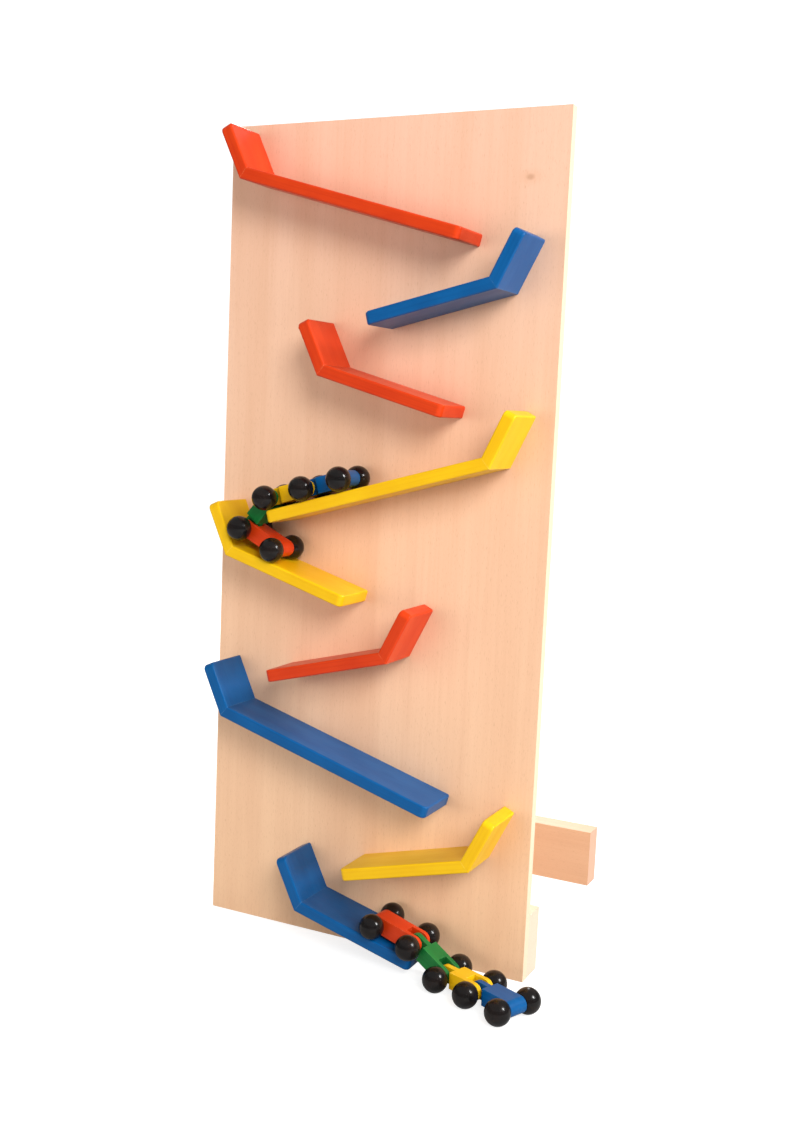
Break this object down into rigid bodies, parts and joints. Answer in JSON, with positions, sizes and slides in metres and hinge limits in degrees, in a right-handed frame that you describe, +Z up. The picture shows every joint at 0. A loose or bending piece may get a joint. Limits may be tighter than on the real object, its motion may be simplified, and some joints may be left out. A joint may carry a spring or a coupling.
{
  "type": "cascade roller tower",
  "caption": "Standing wooden panel with zig-zag ramps down its front and two jointed roller trains with ball wheels that tumble from ramp to ramp.",
  "frame": {"origin": "on the floor, at the middle of the panel's bottom edge, halfway through its thickness", "axes": "+Z up, +X across the panel to the right as seen from the front, +Y from the ramps' side to the rear bar"},
  "size_m": [0.4854, 0.5067, 1],
  "materials": {
    "beech_panel": "satin lacquered birch or beech plywood, upright grain",
    "beech_base": "sanded beech, lacquered",
    "red_paint": "red stained and lacquered wood",
    "blue_paint": "blue stained and lacquered wood",
    "yellow_paint": "yellow stained and lacquered wood",
    "green_paint": "green stained and lacquered wood",
    "black_lacquer": "high gloss black lacquer on wooden balls",
    "steel": "bright zinc plated"
  },
  "bodies": {
    "tower": {"panel": "beech_panel", "foot_board": "beech_base", "spine": "beech_base", "rear_bar": "beech_base", "ramp_screws": "steel", "foot_screws": "steel", "base_screws": "steel", "ramp_1_track": "red_paint", "ramp_1_heel": "red_paint", "ramp_2_track": "blue_paint", "ramp_2_heel": "blue_paint", "ramp_3_track": "red_paint", "ramp_3_heel": "red_paint", "ramp_4_track": "yellow_paint", "ramp_4_heel": "yellow_paint", "ramp_5_track": "yellow_paint", "ramp_5_heel": "yellow_paint", "ramp_6_track": "red_paint", "ramp_6_heel": "red_paint", "ramp_7_track": "blue_paint", "ramp_7_heel": "blue_paint", "ramp_8_track": "yellow_paint", "ramp_8_heel": "yellow_paint", "ramp_9_track": "blue_paint", "ramp_9_heel": "blue_paint"},
    "upper_red": {"upper_red_wagon": "red_paint"},
    "upper_green": {"upper_green_wagon": "green_paint"},
    "upper_yellow": {"upper_yellow_wagon": "yellow_paint"},
    "upper_blue": {"upper_blue_wagon": "blue_paint"},
    "upper_wheels_1": {"upper_axle_1": "steel", "upper_balls_1": "black_lacquer"},
    "upper_wheels_2": {"upper_axle_2": "steel", "upper_balls_2": "black_lacquer"},
    "upper_wheels_3": {"upper_axle_3": "steel", "upper_balls_3": "black_lacquer"},
    "upper_wheels_4": {"upper_axle_4": "steel", "upper_balls_4": "black_lacquer"},
    "upper_wheels_5": {"upper_axle_5": "steel", "upper_balls_5": "black_lacquer"},
    "lower_red": {"lower_red_wagon": "red_paint"},
    "lower_green": {"lower_green_wagon": "green_paint"},
    "lower_yellow": {"lower_yellow_wagon": "yellow_paint"},
    "lower_blue": {"lower_blue_wagon": "blue_paint"},
    "lower_wheels_1": {"lower_axle_1": "steel", "lower_balls_1": "black_lacquer"},
    "lower_wheels_2": {"lower_axle_2": "steel", "lower_balls_2": "black_lacquer"},
    "lower_wheels_3": {"lower_axle_3": "steel", "lower_balls_3": "black_lacquer"},
    "lower_wheels_4": {"lower_axle_4": "steel", "lower_balls_4": "black_lacquer"},
    "lower_wheels_5": {"lower_axle_5": "steel", "lower_balls_5": "black_lacquer"}
  },
  "joints": [
    {"name": "upper_train_pull_off", "type": "slide", "parent": "tower", "child": "upper_red", "axis": [0, -1, 0], "range_m": [0, 0.15]},
    {"name": "upper_green_lift", "type": "hinge", "parent": "upper_red", "child": "upper_green", "pos_m": [-0.15358, -0.0458, 0.5124], "axis": [0, -1, 0], "range_deg": [0, 20]},
    {"name": "upper_yellow_lift", "type": "hinge", "parent": "upper_green", "child": "upper_yellow", "pos_m": [-0.11922, -0.0458, 0.55143], "axis": [0, -1, 0], "range_deg": [0, 60]},
    {"name": "upper_blue_lift", "type": "hinge", "parent": "upper_yellow", "child": "upper_blue", "pos_m": [-0.06923, -0.0458, 0.56576], "axis": [0, -1, 0], "range_deg": [0, 60]},
    {"name": "upper_wheels_1_roll", "type": "hinge", "parent": "upper_red", "child": "upper_wheels_1", "pos_m": [-0.10684, -0.0458, 0.48962], "axis": [0, 1, 0], "continuous": true},
    {"name": "upper_wheels_2_roll", "type": "hinge", "parent": "upper_red", "child": "upper_wheels_2", "pos_m": [-0.15358, -0.0458, 0.5124], "axis": [0, 1, 0], "continuous": true},
    {"name": "upper_wheels_3_roll", "type": "hinge", "parent": "upper_green", "child": "upper_wheels_3", "pos_m": [-0.11922, -0.0458, 0.55143], "axis": [0, 1, 0], "continuous": true},
    {"name": "upper_wheels_4_roll", "type": "hinge", "parent": "upper_yellow", "child": "upper_wheels_4", "pos_m": [-0.06923, -0.0458, 0.56576], "axis": [0, 1, 0], "continuous": true},
    {"name": "upper_wheels_5_roll", "type": "hinge", "parent": "upper_blue", "child": "upper_wheels_5", "pos_m": [-0.01924, -0.0458, 0.58009], "axis": [0, 1, 0], "continuous": true},
    {"name": "lower_train_pull_off", "type": "slide", "parent": "tower", "child": "lower_red", "axis": [0, -1, 0], "range_m": [0, 0.15]},
    {"name": "lower_green_lift", "type": "hinge", "parent": "lower_red", "child": "lower_green", "pos_m": [0.10086, -0.05033, 0.03931], "axis": [-0.0844, -0.9962, 0.0218], "range_deg": [0, 30]},
    {"name": "lower_yellow_lift", "type": "hinge", "parent": "lower_green", "child": "lower_yellow", "pos_m": [0.14565, -0.06067, 0.015], "axis": [-0.225, -0.9744, 0], "range_deg": [0, 45]},
    {"name": "lower_blue_lift", "type": "hinge", "parent": "lower_yellow", "child": "lower_blue", "pos_m": [0.1942, -0.07931, 0.015], "axis": [-0.3584, -0.9336, 0], "range_deg": [0, 60]},
    {"name": "lower_wheels_1_roll", "type": "hinge", "parent": "lower_red", "child": "lower_wheels_1", "pos_m": [0.05071, -0.0458, 0.05228], "axis": [0.0844, 0.9962, -0.0218], "continuous": true},
    {"name": "lower_wheels_2_roll", "type": "hinge", "parent": "lower_red", "child": "lower_wheels_2", "pos_m": [0.10086, -0.05033, 0.03931], "axis": [0.0844, 0.9962, -0.0218], "continuous": true},
    {"name": "lower_wheels_3_roll", "type": "hinge", "parent": "lower_green", "child": "lower_wheels_3", "pos_m": [0.14565, -0.06067, 0.015], "axis": [0.225, 0.9744, 0], "continuous": true},
    {"name": "lower_wheels_4_roll", "type": "hinge", "parent": "lower_yellow", "child": "lower_wheels_4", "pos_m": [0.1942, -0.07931, 0.015], "axis": [0.3584, 0.9336, 0], "continuous": true},
    {"name": "lower_wheels_5_roll", "type": "hinge", "parent": "lower_blue", "child": "lower_wheels_5", "pos_m": [0.24207, -0.09963, 0.015], "axis": [0.3907, 0.9205, 0], "continuous": true}
  ]
}
